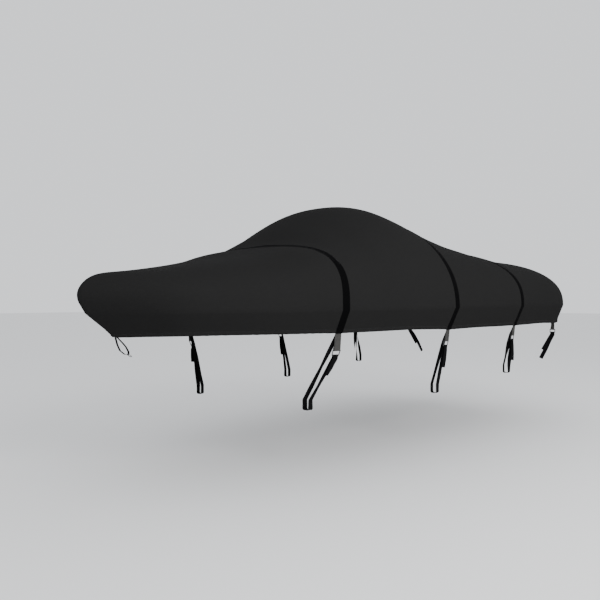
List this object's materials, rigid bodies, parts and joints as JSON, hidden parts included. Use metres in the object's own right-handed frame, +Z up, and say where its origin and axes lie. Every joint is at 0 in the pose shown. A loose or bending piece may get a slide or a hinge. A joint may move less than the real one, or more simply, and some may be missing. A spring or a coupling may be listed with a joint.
{
  "type": "boat cover",
  "caption": "Fitted cloth cover for a runabout in its taut shape, with webbing bands from hem to hem and buckled ties that hold it down",
  "frame": {"origin": "the point on the under side of the cloth below its highest top, where a boat or a support pole holds it up", "axes": "+X along the cover towards the stern, its longest extent; +Z up; the cover is the same on both sides of Y = 0"},
  "size_m": [5.7805, 2.374, 1.7663],
  "materials": {
    "cover_cloth": "matte coated polyester",
    "band_webbing": "matte webbing",
    "tab_webbing": "matte webbing",
    "tie_webbing": "matte webbing",
    "buckle_plastic": "moulded",
    "ring_steel": "plain wire"
  },
  "bodies": {
    "root": {"cover_shell": "cover_cloth", "band_fore": "band_webbing", "band_mid": "band_webbing", "band_aft": "band_webbing", "tab_fore_port": "tab_webbing", "buckle_fore_port": "buckle_plastic", "tie_fore_port": "tie_webbing", "tab_fore_starboard": "tab_webbing", "buckle_fore_starboard": "buckle_plastic", "tie_fore_starboard": "tie_webbing", "tab_mid_port": "tab_webbing", "buckle_mid_port": "buckle_plastic", "tie_mid_port": "tie_webbing", "tab_mid_starboard": "tab_webbing", "buckle_mid_starboard": "buckle_plastic", "tie_mid_starboard": "tie_webbing", "tab_aft_port": "tab_webbing", "buckle_aft_port": "buckle_plastic", "tie_aft_port": "tie_webbing", "tab_aft_starboard": "tab_webbing", "buckle_aft_starboard": "buckle_plastic", "tie_aft_starboard": "tie_webbing", "tab_stern_port": "tab_webbing", "buckle_stern_port": "buckle_plastic", "tie_stern_port": "tie_webbing", "tab_stern_starboard": "tab_webbing", "buckle_stern_starboard": "buckle_plastic", "tie_stern_starboard": "tie_webbing", "bow_loop": "tie_webbing", "bow_ring": "ring_steel"}
  },
  "joints": []
}
